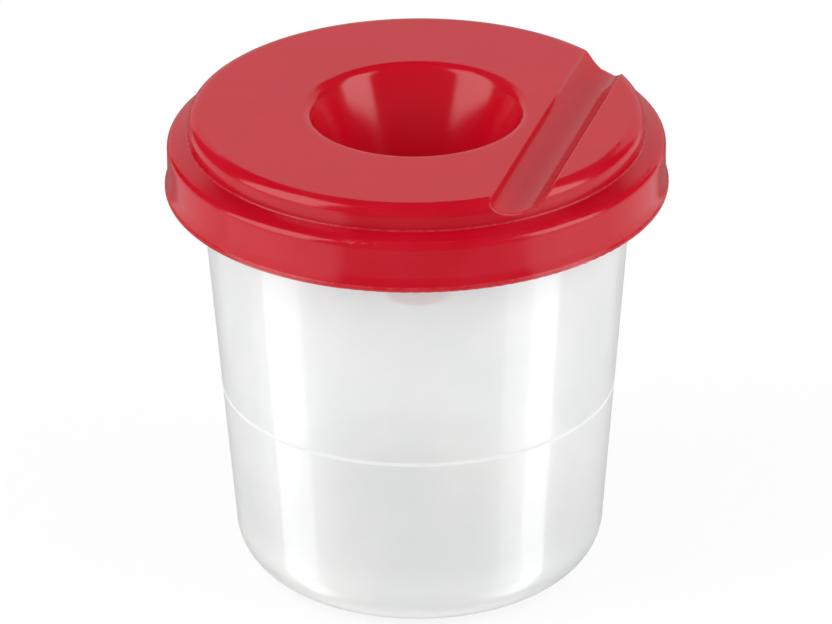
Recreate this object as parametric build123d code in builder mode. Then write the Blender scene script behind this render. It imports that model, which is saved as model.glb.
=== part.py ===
from build123d import *
import os
from math import radians, sqrt, tan

# Brush washer with lid: a tapered cup, and a press-on lid with a non-spill neck and a brush rest.
# Millimetres, +Z up. The origin is the centre of the standing face, and the brush rest runs along Y.
# Radii are measured from the cup's axis, and heights from the face that it stands on.

# Cup
cup_height = 82.6
cup_base_radius = 32.7
cup_draft = 4.5
cup_wall = 1.2
cup_floor = 1.2
base_edge_radius = 8.9
base_inner_radius = 7.7
foot_width = 3.2
foot_lift = 0.6

# Raised level line round the cup
level_height = 35.8
level_width = 0.7
level_proud = 0.12

# Cup's mouth: the wall steps out at a stacking shoulder and ends in a flat rim
shoulder_step = 2.85
shoulder_rise = 2.0
rim_width = 1.35
rim_thickness = 1.5
rim_edge_radius = 0.5

# Lid: a raised plateau, a sloping ledge over the rim, and a skirt with a flared lip
lid_wall = 1.5
plateau_wall = 1.75
plateau_rise = 4.5
plateau_edge_radius = 2.25
ledge_rise = 1.65
ledge_slope = 17.0
ledge_corner_radius = 0.15
skirt_depth = 9.95
skirt_wall = 1.55
skirt_draft = 0.3
skirt_edge_radius = 1.3
skirt_clearance = 0.1

# Lip of the skirt: the wall flares out to a small step above the lip's outer face
lip_width = 0.5
lip_thickness = 0.75
lip_step_width = 0.22
lip_step_height = 0.15
lip_crest_radius = 0.25
lip_root_radius = 0.15
lip_outer_radius = 0.45
lip_inner_radius = 0.3
flare_height = 1.0
flare_radius = 6.0

# Plug ring inside the cup's mouth
plug_depth = 4.2
plug_wall = 1.2
plug_clearance = 0.08
plug_edge_radius = 0.4
shoulder_clearance = 1.2

# Bead inside the skirt, under the rim
bead_drop = 1.2
bead_width = 0.8
bead_clearance = 0.05
bead_edge_radius = 0.3

# Neck, which hangs into the cup
neck_radius = 19.05
neck_depth = 36.0
neck_draft = 22.0
neck_wall = 1.4
neck_mouth_radius = 2.0
neck_root_radius = 1.5
neck_tip_radius = 0.4

# Brush rest: a shallow trough across one side of the plateau
rest_radius = 4.83
rest_depth = 3.2
rest_gap = 2.0
rest_edge_radius = 0.25
rest_overlap = 0.3

# Heights
rim_top = cup_height
rim_underside = rim_top - rim_thickness
mouth_bottom = rim_top - plug_depth - shoulder_clearance
shoulder_bottom = mouth_bottom - shoulder_rise
floor_top = foot_lift + cup_floor
level_bottom = level_height - level_width / 2
level_top = level_height + level_width / 2
ledge_top = rim_top + ledge_rise
plateau_top = ledge_top + plateau_rise
plateau_underside = plateau_top - lid_wall
plug_bottom = rim_top - plug_depth
bead_height = rim_underside - bead_drop
bead_bottom = bead_height - bead_width
bead_top = bead_height + bead_width
lip_bottom = ledge_top - skirt_depth
lip_crest = lip_bottom + lip_thickness
lip_root = lip_crest + lip_step_height
flare_top = lip_root + flare_height
neck_bottom = plateau_top - neck_depth


def wall_radius(height):
    """Outside radius of the cup's wall."""
    return cup_base_radius + height * tan(radians(cup_draft))


# Radii
foot_radius = cup_base_radius - base_edge_radius - foot_width
mouth_radius = wall_radius(shoulder_bottom) + shoulder_step
mouth_bore_radius = mouth_radius - cup_wall
rim_radius = mouth_radius + rim_width
plug_radius = mouth_bore_radius - plug_clearance
plug_inner_radius = plug_radius - plug_wall
plateau_radius = plug_inner_radius + plateau_wall


def skirt_bore(height):
    """Inside radius of the lid's skirt."""
    return rim_radius + skirt_clearance + (rim_top - height) * tan(radians(skirt_draft))


def neck_bore(height):
    """Inside radius of the lid's neck."""
    return neck_radius - (plateau_top - height) * tan(radians(neck_draft))


lip_radius = skirt_bore(lip_crest) + skirt_wall + lip_width
skirt_radius = skirt_bore(rim_top) + skirt_wall
ledge_edge = ledge_top - (skirt_radius - plateau_radius) * tan(radians(ledge_slope))

# Trough of the brush rest, set beside the rounding of the neck's mouth
neck_mouth_edge = neck_radius + neck_mouth_radius * tan(radians(90 - neck_draft) / 2)
rest_half_width = sqrt(rest_radius**2 - (rest_radius - rest_depth) ** 2)
rest_offset = neck_mouth_edge + rest_gap + rest_half_width
rest_height = plateau_top + rest_radius - rest_depth
rest_plane = Plane(origin=(rest_offset, 0, rest_height), z_dir=(0, 1, 0))

with BuildPart() as cup:
    # Each corner is a radius, a height and the size of its rounding
    cup_corners = [
        (0, foot_lift, 0),
        (foot_radius - foot_lift, foot_lift, 0),
        (foot_radius, 0, 0),
        (cup_base_radius, 0, base_edge_radius),
        (wall_radius(shoulder_bottom), shoulder_bottom, rim_edge_radius),
        (mouth_radius, mouth_bottom, rim_edge_radius),
        (mouth_radius, rim_underside, rim_edge_radius),
        (rim_radius, rim_underside, rim_edge_radius),
        (rim_radius, rim_top, rim_edge_radius),
        (mouth_bore_radius, rim_top, rim_edge_radius),
        (mouth_bore_radius, mouth_bottom, 0),
        (wall_radius(shoulder_bottom) - cup_wall, shoulder_bottom, 0),
        (wall_radius(floor_top) - cup_wall, floor_top, base_inner_radius),
        (0, floor_top, 0),
    ]
    with BuildSketch(Plane.XZ):
        with BuildLine():
            FilletPolyline(
                [(radius, height) for radius, height, _ in cup_corners],
                radius=[rounding for _, _, rounding in cup_corners],
                close=True,
            )
        make_face()
        # The level line is a low ridge on the wall
        with BuildLine():
            Polyline(
                (wall_radius(level_height) - cup_wall / 2, level_height),
                (wall_radius(level_bottom), level_bottom),
                (wall_radius(level_height) + level_proud, level_height),
                (wall_radius(level_top), level_top),
                close=True,
            )
        make_face()
    revolve(axis=Axis.Z)

# The trough's wall under the plateau, let into the walls that it joins
with BuildPart() as rest_wall:
    with BuildSketch(rest_plane):
        Circle(rest_radius + lid_wall)
    extrude(amount=plateau_radius, both=True)
    with BuildSketch(Plane.XY.offset(rim_top)):
        Circle(plug_inner_radius + rest_overlap)
    extrude(amount=plateau_underside + rest_overlap - rim_top, mode=Mode.INTERSECT)

with BuildPart() as lid:
    lid_corners = [
        (neck_bore(neck_bottom), neck_bottom, neck_tip_radius),
        (neck_bore(plateau_top), plateau_top, neck_mouth_radius),
        (plateau_radius, plateau_top, plateau_edge_radius),
        (plateau_radius, ledge_top, ledge_corner_radius),
        (skirt_radius, ledge_edge, skirt_edge_radius),
        (skirt_bore(flare_top) + skirt_wall, flare_top, flare_radius),
        (lip_radius - lip_step_width, lip_root, lip_root_radius),
        (lip_radius, lip_crest, lip_crest_radius),
        (lip_radius, lip_bottom, lip_outer_radius),
        (skirt_bore(lip_bottom), lip_bottom, lip_inner_radius),
        (skirt_bore(bead_bottom), bead_bottom, 0),
        (rim_radius + bead_clearance, bead_height, bead_edge_radius),
        (skirt_bore(bead_top), bead_top, 0),
        (skirt_bore(rim_top), rim_top, 0),
        (plug_radius, rim_top, 0),
        (plug_radius, plug_bottom, plug_edge_radius),
        (plug_inner_radius, plug_bottom, plug_edge_radius),
        (plug_inner_radius, plateau_underside, neck_root_radius),
        (neck_bore(plateau_underside) + neck_wall, plateau_underside, neck_root_radius),
        (neck_bore(neck_bottom) + neck_wall, neck_bottom, neck_tip_radius),
    ]
    with BuildSketch(Plane.XZ):
        with BuildLine():
            FilletPolyline(
                [(radius, height) for radius, height, _ in lid_corners],
                radius=[rounding for _, _, rounding in lid_corners],
                close=True,
            )
        make_face()
    revolve(axis=Axis.Z)
    add(rest_wall.part)
    with BuildSketch(rest_plane):
        Circle(rest_radius)
    extrude(amount=plateau_radius, both=True, mode=Mode.SUBTRACT)
    round_faces = lid.faces().filter_by(GeomType.CYLINDER)
    troughs = round_faces.filter_by(lambda face: face.axis_of_rotation.is_parallel(Axis.Y))
    fillet(troughs.sort_by(Axis.Z)[-1].edges(), rest_edge_radius)

cup.part.label = "cup"
lid.part.label = "lid"

os.makedirs("parts", exist_ok=True)
export_step(cup.part, "parts/cup.step")
export_step(lid.part, "parts/lid.step")
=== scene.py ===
from math import cos, radians, sin, tan

import bmesh
import bpy
from mathutils import Matrix, Vector


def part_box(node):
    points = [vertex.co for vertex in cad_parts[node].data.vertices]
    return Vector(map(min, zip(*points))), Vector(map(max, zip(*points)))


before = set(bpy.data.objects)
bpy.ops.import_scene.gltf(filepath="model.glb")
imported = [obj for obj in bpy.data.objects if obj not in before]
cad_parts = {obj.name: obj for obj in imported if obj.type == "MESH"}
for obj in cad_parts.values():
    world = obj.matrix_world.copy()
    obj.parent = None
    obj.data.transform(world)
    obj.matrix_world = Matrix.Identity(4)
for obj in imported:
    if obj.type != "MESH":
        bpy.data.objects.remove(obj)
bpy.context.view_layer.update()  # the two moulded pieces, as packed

mmPerMetre = 1000.0  # the scene is in metres, and each finish gives its sizes in millimetres

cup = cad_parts["cup"]
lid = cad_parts["lid"]
cupLow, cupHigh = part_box("cup")
lidLow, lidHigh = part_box("lid")
cupHeight = round((cupHigh.z - cupLow.z) * mmPerMetre, 1)
lidWidth = round((lidHigh.x - lidLow.x) * mmPerMetre, 1)
print("frame loaded: cup", cupHeight, "mm high, lid", lidWidth, "mm across")


def linearColour(hexValue):  # sRGB hex to the linear colour that shaders take
    channels = [int(hexValue[i : i + 2], 16) / 255 for i in (1, 3, 5)]
    return [c / 12.92 if c <= 0.04045 else ((c + 0.055) / 1.055) ** 2.4 for c in channels] + [1.0]


def scaleOf(millimetres):  # a pattern's scale, from the size of one of its features
    return mmPerMetre / millimetres


# Adds a node with its settings and links. An input goes by its name, or by its number after an i.
def addNode(tree, kind, settings=None, **inputs):
    node = tree.nodes.new(kind)
    for name, value in (settings or {}).items():
        setattr(node, name, value)
    for name, value in inputs.items():
        numbered = name[0] == "i" and name[1:].isdigit()
        socket = node.inputs[int(name[1:]) if numbered else name.replace("_", " ")]
        if isinstance(value, bpy.types.Node):
            value = next(output for output in value.outputs if output.enabled)
        if isinstance(value, bpy.types.NodeSocket):
            tree.links.new(value, socket)
        else:
            socket.default_value = value
    return node


# Settings that several nodes share
times = {"operation": "MULTIPLY"}
plus = {"operation": "ADD"}
minus = {"operation": "SUBTRACT"}
most = {"operation": "MAXIMUM"}
distance = {"operation": "LENGTH"}
fade = {"interpolation_type": "SMOOTHSTEP"}  # i1 and i2 are its start and end, i3 and i4 what it gives there
inColour = {"data_type": "RGBA"}

# Inputs that several fades share. Noise stays near 0.5, so a pattern fades across the middle of its range.
firm = {"i1": 0.35, "i2": 0.65}
gentle = {"i1": 0.3, "i2": 0.7}
rising = {"i3": 0.0, "i4": 1.0}
falling = {"i3": 1.0, "i4": 0.0}


def newMaterial(name):
    material = bpy.data.materials.new(name)
    material.use_nodes = True
    material.node_tree.nodes.clear()
    return material, material.node_tree


def fromAxis(tree, place):  # millimetres from the washer's axis
    aside = addNode(tree, "ShaderNodeVectorMath", times, i0=place, i1=(mmPerMetre, mmPerMetre, 0.0))
    return addNode(tree, "ShaderNodeVectorMath", distance, i0=aside)


def dress(piece, material):  # every slot of a moulded piece takes the one material
    if not piece.material_slots:
        piece.data.materials.append(material)
    for slot in piece.material_slots:
        slot.material = material


# The camera stands well back and looks a little down
cameraSetup = {
    "location": (0.3283, -1.1462, 0.6438),  # metres
    "turn": 16.0,  # degrees round the upright, from looking along +Y
    "tip": 26.54,  # degrees below level
    "roll": -0.55,  # degrees
    "lens": 320.0,  # millimetres
    "sensor": 36.0,  # millimetres
}


def makeCamera(setup):
    data = bpy.data.cameras.new("camera")
    data.lens = setup["lens"]
    data.sensor_width = setup["sensor"]
    camera = bpy.data.objects.new("camera", data)
    bpy.context.scene.collection.objects.link(camera)
    turned = Matrix.Rotation(radians(setup["turn"]), 4, "Z")
    tipped = Matrix.Rotation(radians(90 - setup["tip"]), 4, "X")
    rolled = Matrix.Rotation(radians(setup["roll"]), 4, "Z")
    camera.matrix_world = Matrix.Translation(setup["location"]) @ turned @ tipped @ rolled
    bpy.context.scene.camera = camera


makeCamera(cameraSetup)
bpy.context.scene.view_settings.view_transform = "Standard"
print("camera placed")

studio = {
    "floorRadius": 3.0,  # metres
    "floorColour": "#F4F4F4",
    "floorWhite": 0.85,  # share of the floor that shows plain white, the rest takes light and shadow
    "underStart": 0.018,  # metres from the axis, the floor under the cup is in its shade
    "underEnd": 0.026,
    "fadeStart": 0.07,  # metres from the axis, from here on the floor turns plain white
    "fadeEnd": 0.3,
    "fill": 0.8,  # strength of the white room
}


def shownRays(tree):  # 1 where the eye, a gloss or clear plastic looks at the backdrop
    path = addNode(tree, "ShaderNodeLightPath")
    camera, gloss, clear = [path.outputs[f"Is {kind} Ray"] for kind in ("Camera", "Glossy", "Transmission")]
    seen = addNode(tree, "ShaderNodeMath", plus, i0=camera, i1=gloss)
    return addNode(tree, "ShaderNodeMath", plus | {"use_clamp": True}, i0=seen, i1=clear)


def makeWorld(setup):
    world = bpy.data.worlds.new("pale studio")
    bpy.context.scene.world = world
    world.use_nodes = True
    world.cycles.sampling_method = "NONE"  # the fill is even, and this keeps it out of the gloss
    tree = world.node_tree
    tree.nodes.clear()
    fill = addNode(tree, "ShaderNodeBackground", Color=(1, 1, 1, 1), Strength=setup["fill"])
    white = addNode(tree, "ShaderNodeBackground", Color=(1, 1, 1, 1), Strength=1.0)
    mixed = addNode(tree, "ShaderNodeMixShader", Fac=shownRays(tree), i1=fill, i2=white)
    addNode(tree, "ShaderNodeOutputWorld", Surface=mixed)


def makeFloor(setup):
    bpy.ops.mesh.primitive_circle_add(vertices=96, radius=setup["floorRadius"], fill_type="NGON")
    floor = bpy.context.object
    floor.name = "floor"
    floor.visible_glossy = False  # gloss looks past it, at the cards and the white room
    floor.visible_shadow = False  # so the low cards' light reaches the gloss too
    material, tree = newMaterial("matt white paper")
    place = addNode(tree, "ShaderNodeNewGeometry").outputs["Position"]
    away = addNode(tree, "ShaderNodeVectorMath", distance, i0=place)
    start, end, share = setup["fadeStart"], setup["fadeEnd"], setup["floorWhite"]
    plain = addNode(tree, "ShaderNodeMapRange", fade, i0=away, i1=start, i2=end, i3=share, i4=1.0)
    start, end = setup["underStart"], setup["underEnd"]
    under = addNode(tree, "ShaderNodeMapRange", fade, i0=away, i1=start, i2=end, **rising)
    lit = addNode(tree, "ShaderNodeMath", times, i0=plain, i1=under)
    shown = addNode(tree, "ShaderNodeMath", times, i0=lit, i1=shownRays(tree))
    paper = addNode(tree, "ShaderNodeBsdfDiffuse", Color=linearColour(setup["floorColour"]))
    white = addNode(tree, "ShaderNodeEmission", Color=(1, 1, 1, 1), Strength=1.0)
    mixed = addNode(tree, "ShaderNodeMixShader", Fac=shown, i1=paper, i2=white)
    addNode(tree, "ShaderNodeOutputMaterial", Surface=mixed)
    floor.data.materials.append(material)


# Windows light the washer. The other cards are there for its gloss alone.
# Turns are degrees round the washer from the camera's side, and rises are degrees above level.
# Distances are metres from cardCentre.
cards = {
    "left window": {"turns": (-92, -47), "rises": (5, 60), "distance": 0.7, "glow": 2.9, "lights": True},
    "right window": {"turns": (52, 88), "rises": (5, 50), "distance": 0.7, "glow": 3.3, "lights": True},
    "left low card": {"turns": (-95, -68), "rises": (-60, -30), "distance": 0.7, "glow": 5.4},
    "right low card": {"turns": (66, 84), "rises": (-60, -30), "distance": 0.7, "glow": 7.5},
    "left low edge": {"turns": (-68, -57), "rises": (-60, -30), "distance": 0.7, "glow": 1.3},
    "left far edge": {"turns": (-106, -95), "rises": (-60, -30), "distance": 0.7, "glow": 1.0},
    "right low edge": {"turns": (50, 66), "rises": (-60, -30), "distance": 0.7, "glow": 3.6},
    "back wall": {"turns": (132, 218), "rises": (-1, 36), "distance": 0.8, "glow": 0.68},
    "floor behind": {"turns": (142, 218), "rises": (-60, -1), "distance": 0.8, "glow": 0.25},
    "dark room": {"turns": (-180, 180), "rises": (0, 90), "distance": 0.9, "glow": 0.0},
    "left of floor": {"turns": (-142, -95), "rises": (-31, 0), "distance": 0.8, "glow": 0.75},
    "right of floor": {"turns": (88, 142), "rises": (-31, 0), "distance": 0.8, "glow": 0.85},
    "left foot": {"turns": (-142, -95), "rises": (-60, -31), "distance": 0.8, "glow": 0.25},
    "right foot": {"turns": (88, 142), "rises": (-60, -31), "distance": 0.8, "glow": 0.25},
    "front floor": {"turns": (-35, 50), "rises": (-31, -15), "distance": 0.8, "glow": 0.24},
    "front flag": {"turns": (-35, 50), "rises": (-15, 36), "distance": 0.8, "glow": 0.04},
}
cardStep = 5.0  # degrees between a card's points
cardCentre = Vector((0, 0, 0.075))  # metres, a point high in the cup


def makeCard(name, setup):
    start, end = setup["turns"]
    low, high = setup["rises"]
    across = max(1, round((end - start) / cardStep))
    up = max(1, round((high - low) / cardStep))
    mesh = bmesh.new()
    rows = []
    for j in range(up + 1):
        rise = radians(low + (high - low) * j / up)
        row = []
        for i in range(across + 1):
            turn = radians(cameraSetup["turn"] + start + (end - start) * i / across)
            way = Vector((sin(turn) * cos(rise), -cos(turn) * cos(rise), sin(rise)))
            row.append(mesh.verts.new(cardCentre + setup["distance"] * way))
        rows.append(row)
    for j in range(up):
        for i in range(across):
            mesh.faces.new((rows[j][i], rows[j][i + 1], rows[j + 1][i + 1], rows[j + 1][i]))
    data = bpy.data.meshes.new(name)
    mesh.to_mesh(data)
    mesh.free()
    card = bpy.data.objects.new(name.replace(" ", "_"), data)
    bpy.context.scene.collection.objects.link(card)
    material, tree = newMaterial(name)
    glow = addNode(tree, "ShaderNodeEmission", Color=(1, 1, 1, 1), Strength=setup["glow"])
    addNode(tree, "ShaderNodeOutputMaterial", Surface=glow)
    data.materials.append(material)
    card.visible_camera = False
    card.visible_shadow = False
    card.visible_diffuse = setup.get("lights", False)
    card.visible_transmission = setup.get("lights", False)


makeWorld(studio)
makeFloor(studio)
for name, setup in cards.items():
    makeCard(name, setup)
print("studio lit")


# Lid: low density polyethylene, injection moulded in a polished tool gone a little dull.
# It looks waxy, with soft-edged windows in its gloss, and its edges are rubbed paler.
lidFinish = {
    "deepColour": "#C3091F",  # where the pigment gathers
    "brightColour": "#C70B23",  # where it is thinner
    "paintedNeckGlowColour": "#D40D25",  # painted glow: the thin neck is painted lighter, for the light that comes through its wall
    "paintedNeckGlowReach": (17.0, 20.5),  # millimetres from the axis to where the painted glow starts and ends to fade
    "rubbedColour": "#DE5A62",
    "throughColour": "#F0182C",  # of the light that comes through the wall
    "through": 0.15,  # share of the light that comes through the wall
    "ior": 1.51,
    "smooth": 0.13,  # roughness where the gloss is best
    "dull": 0.2,  # roughness where it is hazy
    "worn": 0.16,  # roughness added where it is rubbed
    "pigment": 12.0,  # millimetres, patches where the colour is mixed unevenly
    "haze": 12.0,  # millimetres, patches of duller gloss
    "sink": 9.0,  # millimetres, slow waves where the wall shrank in the mould
    "sinkDepth": 0.012,
    "grain": 0.4,  # millimetres, the tool's grain, drawn coarser than it is so that it shows
    "grainDepth": 0.005,
    "edge": 0.45,  # millimetres, how far the rubbing reaches from an edge
    "edgeLean": (0.995, 0.94),  # cosine of the softened normal's lean where rubbing starts and is full
    "scuff": 1.3,  # millimetres
    "leastRub": 0.35,  # how much of the rubbing is left between the scuffs
    "rubbed": 0.85,  # how pale the rubbed edges are
}


def lidMaterial(finish):
    material, tree = newMaterial("moulded red polyethylene")
    place = addNode(tree, "ShaderNodeTexCoord").outputs["Object"]
    # The normal with its edges softened, and where those edges are
    soft = addNode(tree, "ShaderNodeBevel", {"samples": 6}, Radius=finish["edge"] / mmPerMetre)
    flat = addNode(tree, "ShaderNodeNewGeometry").outputs["Normal"]
    along = addNode(tree, "ShaderNodeVectorMath", {"operation": "DOT_PRODUCT"}, i0=soft, i1=flat)
    start, end = finish["edgeLean"]
    edges = addNode(tree, "ShaderNodeMapRange", fade, i0=along, i1=start, i2=end, **rising)
    marks = addNode(tree, "ShaderNodeTexNoise", Vector=place, Scale=scaleOf(finish["scuff"]), Detail=5.0)
    marks = addNode(tree, "ShaderNodeMapRange", fade, i0=marks, **firm, i3=finish["leastRub"], i4=1.0)
    rubbed = addNode(tree, "ShaderNodeMath", times, i0=edges, i1=marks)
    # Colour
    pigment = addNode(tree, "ShaderNodeTexNoise", Vector=place, Scale=scaleOf(finish["pigment"]), Detail=3.0)
    pigment = addNode(tree, "ShaderNodeMapRange", fade, i0=pigment, **firm, **rising)
    deep, bright = linearColour(finish["deepColour"]), linearColour(finish["brightColour"])
    plain = addNode(tree, "ShaderNodeMix", inColour, i0=pigment, i6=deep, i7=bright)
    # Painted glow: the thin neck is painted a lighter red, for the light that comes through its wall
    start, end = finish["paintedNeckGlowReach"]
    aside = fromAxis(tree, place)
    neck = addNode(tree, "ShaderNodeMapRange", fade, i0=aside, i1=start, i2=end, **falling)
    paintedGlowColour = linearColour(finish["paintedNeckGlowColour"])
    withPaintedNeckGlow = addNode(tree, "ShaderNodeMix", inColour, i0=neck, i6=plain, i7=paintedGlowColour)
    palest = linearColour(finish["rubbedColour"])
    pale = addNode(tree, "ShaderNodeMath", times, i0=rubbed, i1=finish["rubbed"])
    colour = addNode(tree, "ShaderNodeMix", inColour, i0=pale, i6=withPaintedNeckGlow, i7=palest)
    # Gloss
    smooth, dull = finish["smooth"], finish["dull"]
    haze = addNode(tree, "ShaderNodeTexNoise", Vector=place, Scale=scaleOf(finish["haze"]), Detail=4.0)
    haze = addNode(tree, "ShaderNodeMapRange", fade, i0=haze, **gentle, i3=smooth, i4=dull)
    worn = addNode(tree, "ShaderNodeMath", times, i0=rubbed, i1=finish["worn"])
    roughness = addNode(tree, "ShaderNodeMath", plus, i0=haze, i1=worn)
    # Surface
    sink = addNode(tree, "ShaderNodeTexNoise", Vector=place, Scale=scaleOf(finish["sink"]), Detail=1.0)
    relief = finish["sinkDepth"] / mmPerMetre
    sink = addNode(tree, "ShaderNodeBump", Height=sink, Distance=relief, Normal=soft)
    grain = addNode(tree, "ShaderNodeTexNoise", Vector=place, Scale=scaleOf(finish["grain"]))
    relief = finish["grainDepth"] / mmPerMetre
    grain = addNode(tree, "ShaderNodeBump", Height=grain, Distance=relief, Normal=sink)
    body = addNode(
        tree, "ShaderNodeBsdfPrincipled",
        Base_Color=colour, Roughness=roughness, IOR=finish["ior"], Normal=grain,
    )
    through = addNode(tree, "ShaderNodeBsdfTranslucent", Color=linearColour(finish["throughColour"]))
    mixed = addNode(tree, "ShaderNodeMixShader", Fac=finish["through"], i1=body, i2=through)
    addNode(tree, "ShaderNodeOutputMaterial", Surface=mixed)
    return material


dress(lid, lidMaterial(lidFinish))
print("lid dressed")

# Cup: natural polypropylene, injection moulded, so it is milky, with faint streaks where it flowed.
# What is inside shows dimly through the wall, with painted shade on the floor inside, and the level line and
# the thick base are painted whiter as highlights.
cupFinish = {
    "colour": "#FEFEFC",
    "cloudColour": "#FBFCFB",  # where the plastic is cloudier
    "scuffColour": "#DCDCDA",
    "floorColour": "#D2D8DE",  # painted shade: the floor inside is painted cooler and darker, for the shade it lies in
    "paintedShadeReach": (24.0, 29.0),  # millimetres from the axis to where the painted shade starts and ends to fade
    "paintedShadeHeight": (3.0, 6.0),  # millimetres above the table, the same
    "throughColour": "#FBFBFA",  # of the light that comes through the milky plastic
    "through": 0.1,  # share of that light
    "milky": 0.3,  # share of clear sight through the wall, where it is milkiest
    "clear": 0.33,  # the same where it is clearest
    "clearColour": "#F8FAFC",
    "clearRoughness": 0.05,
    "ior": 1.49,
    "smooth": 0.34,  # roughness where the gloss is best
    "dull": 0.37,  # roughness in the streaks
    "worn": 0.3,  # roughness added where it is scuffed
    "lineDull": 0.3,  # roughness added on the level line
    "paintedLineHighlight": 0.42,  # how much of the clear sight the level line blocks, so that it shows whiter as a painted highlight
    "cloud": 22.0,  # millimetres
    "streak": 9.0,  # millimetres across, and longer up the wall
    "streakStretch": 0.3,
    "streakDepth": 0.0015,
    "grain": 0.45,  # millimetres, drawn coarser than it is so that it shows
    "grainDepth": 0.0008,
    "baseRadius": 32.7,  # millimetres, the wall's outside at the table
    "draft": 4.5,  # degrees that the wall leans out
    "halfWall": 0.6,  # millimetres, what lies deeper than this is the wall's inner side
    "polished": (8.0, 14.0),  # millimetres above the table, the polished inside starts between these
    "polishedTop": 74.0,  # millimetres above the table, where it ends
    "levelHeight": 35.8,  # millimetres above the table
    "levelReach": (0.15, 0.6),  # millimetres from its middle to where the painted white highlight starts and ends to fade
    "paintedBaseHighlightReach": (2.0, 6.0),  # millimetres above the table, the same for the base's painted white highlight
    "scuff": 0.9,  # millimetres
    "scuffRange": (0.45, 0.6),  # the part of the noise that the scuffs fade across
    "scuffReach": (0.3, 1.4),  # millimetres above the table, the same for the scuffs
}


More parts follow.
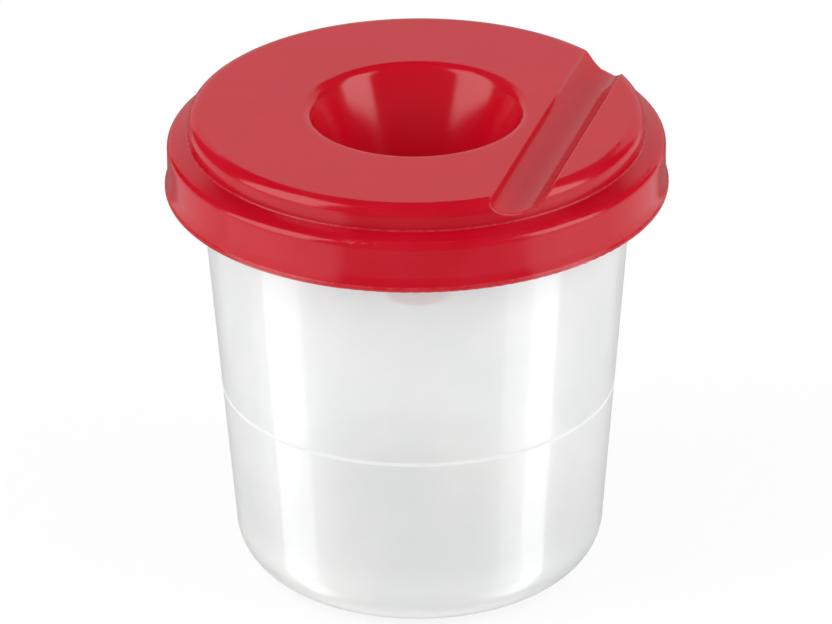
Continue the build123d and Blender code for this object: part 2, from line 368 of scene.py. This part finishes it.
def cupMaterial(finish):
    material, tree = newMaterial("moulded natural polypropylene")
    place = addNode(tree, "ShaderNodeTexCoord").outputs["Object"]
    # Height above the table and distance from the axis, in millimetres
    height = addNode(tree, "ShaderNodeSeparateXYZ", i0=place).outputs["Z"]
    height = addNode(tree, "ShaderNodeMath", times, i0=height, i1=mmPerMetre)
    aside = fromAxis(tree, place)
    # Painted highlights: the plastic is made whiter at the level line and in the thick base
    above = addNode(tree, "ShaderNodeMath", minus, i0=height, i1=finish["levelHeight"])
    offLine = addNode(tree, "ShaderNodeMath", {"operation": "ABSOLUTE"}, i0=above)
    start, end = finish["levelReach"]
    line = addNode(tree, "ShaderNodeMapRange", fade, i0=offLine, i1=start, i2=end, **falling)
    start, end = finish["paintedBaseHighlightReach"]
    base = addNode(tree, "ShaderNodeMapRange", fade, i0=height, i1=start, i2=end, **falling)
    paintedLineHighlight = addNode(tree, "ShaderNodeMath", times, i0=line, i1=finish["paintedLineHighlight"])
    white = addNode(tree, "ShaderNodeMath", most, i0=paintedLineHighlight, i1=base)
    # Colour
    cloud = addNode(tree, "ShaderNodeTexNoise", Vector=place, Scale=scaleOf(finish["cloud"]), Detail=3.0)
    clouds = addNode(tree, "ShaderNodeMapRange", fade, i0=cloud, **firm, **rising)
    plain, cloudy = linearColour(finish["colour"]), linearColour(finish["cloudColour"])
    milk = addNode(tree, "ShaderNodeMix", inColour, i0=clouds, i6=plain, i7=cloudy)
    # Painted shade: the cup's floor inside is painted cooler and darker, for the shade it lies in
    start, end = finish["paintedShadeReach"]
    near = addNode(tree, "ShaderNodeMapRange", fade, i0=aside, i1=start, i2=end, **falling)
    start, end = finish["paintedShadeHeight"]
    low = addNode(tree, "ShaderNodeMapRange", fade, i0=height, i1=start, i2=end, **falling)
    inside = addNode(tree, "ShaderNodeMath", times, i0=near, i1=low)
    floorColour = linearColour(finish["floorColour"])
    milkWithPaintedShade = addNode(tree, "ShaderNodeMix", inColour, i0=inside, i6=milk, i7=floorColour)
    marks = addNode(tree, "ShaderNodeTexNoise", Vector=place, Scale=scaleOf(finish["scuff"]), Detail=5.0)
    start, end = finish["scuffRange"]
    marks = addNode(tree, "ShaderNodeMapRange", fade, i0=marks, i1=start, i2=end, **rising)
    start, end = finish["scuffReach"]
    foot = addNode(tree, "ShaderNodeMapRange", fade, i0=height, i1=start, i2=end, **falling)
    scuffed = addNode(tree, "ShaderNodeMath", times, i0=marks, i1=foot)
    scuffColour = linearColour(finish["scuffColour"])
    colour = addNode(tree, "ShaderNodeMix", inColour, i0=scuffed, i6=milkWithPaintedShade, i7=scuffColour)
    # Gloss
    long = addNode(tree, "ShaderNodeMapping", Vector=place, Scale=(1.0, 1.0, finish["streakStretch"]))
    streaks = addNode(tree, "ShaderNodeTexNoise", Vector=long, Scale=scaleOf(finish["streak"]))
    smooth, dull = finish["smooth"], finish["dull"]
    satin = addNode(tree, "ShaderNodeMapRange", fade, i0=streaks, **gentle, i3=smooth, i4=dull)
    worn = addNode(tree, "ShaderNodeMath", times, i0=scuffed, i1=finish["worn"])
    lineDull = addNode(tree, "ShaderNodeMath", times, i0=line, i1=finish["lineDull"])
    roughness = addNode(tree, "ShaderNodeMath", plus, i0=satin, i1=worn)
    roughness = addNode(tree, "ShaderNodeMath", plus, i0=roughness, i1=lineDull)
    # Surface
    relief = finish["streakDepth"] / mmPerMetre
    flow = addNode(tree, "ShaderNodeBump", Height=streaks, Distance=relief)
    grain = addNode(tree, "ShaderNodeTexNoise", Vector=place, Scale=scaleOf(finish["grain"]))
    relief = finish["grainDepth"] / mmPerMetre
    grain = addNode(tree, "ShaderNodeBump", Height=grain, Distance=relief, Normal=flow)
    body = addNode(
        tree, "ShaderNodeBsdfPrincipled",
        Base_Color=colour, Roughness=roughness, IOR=finish["ior"], Normal=grain,
    )
    through = addNode(tree, "ShaderNodeBsdfTranslucent", Color=linearColour(finish["throughColour"]))
    milky = addNode(tree, "ShaderNodeMixShader", Fac=finish["through"], i1=body, i2=through)
    sight = addNode(
        tree, "ShaderNodeBsdfGlass",
        Color=linearColour(finish["clearColour"]), Roughness=finish["clearRoughness"], IOR=finish["ior"],
    )
    # The wall's polished inside is clear, so that its milk shows once, on the outside
    least, greatest = finish["milky"], finish["clear"]
    outer = addNode(tree, "ShaderNodeMapRange", fade, i0=cloud, **gentle, i3=least, i4=greatest)
    notWhite = addNode(tree, "ShaderNodeMath", minus, i0=1.0, i1=white)
    outer = addNode(tree, "ShaderNodeMath", times, i0=outer, i1=notWhite)
    lean, radius = tan(radians(finish["draft"])), finish["baseRadius"]
    wall = addNode(tree, "ShaderNodeMath", {"operation": "MULTIPLY_ADD"}, i0=height, i1=lean, i2=radius)
    depth = addNode(tree, "ShaderNodeMath", minus, i0=wall, i1=aside)
    inner = addNode(tree, "ShaderNodeMath", {"operation": "GREATER_THAN"}, i0=depth, i1=finish["halfWall"])
    start, end = finish["polished"]
    polished = addNode(tree, "ShaderNodeMapRange", fade, i0=height, i1=start, i2=end, **rising)
    inner = addNode(tree, "ShaderNodeMath", times, i0=inner, i1=polished)
    below = addNode(tree, "ShaderNodeMath", {"operation": "LESS_THAN"}, i0=height, i1=finish["polishedTop"])
    inner = addNode(tree, "ShaderNodeMath", times, i0=inner, i1=below)
    clear = addNode(tree, "ShaderNodeMath", most, i0=outer, i1=inner)
    mixed = addNode(tree, "ShaderNodeMixShader", Fac=clear, i1=milky, i2=sight)
    addNode(tree, "ShaderNodeOutputMaterial", Surface=mixed)
    return material


dress(cup, cupMaterial(cupFinish))
print("cup dressed")
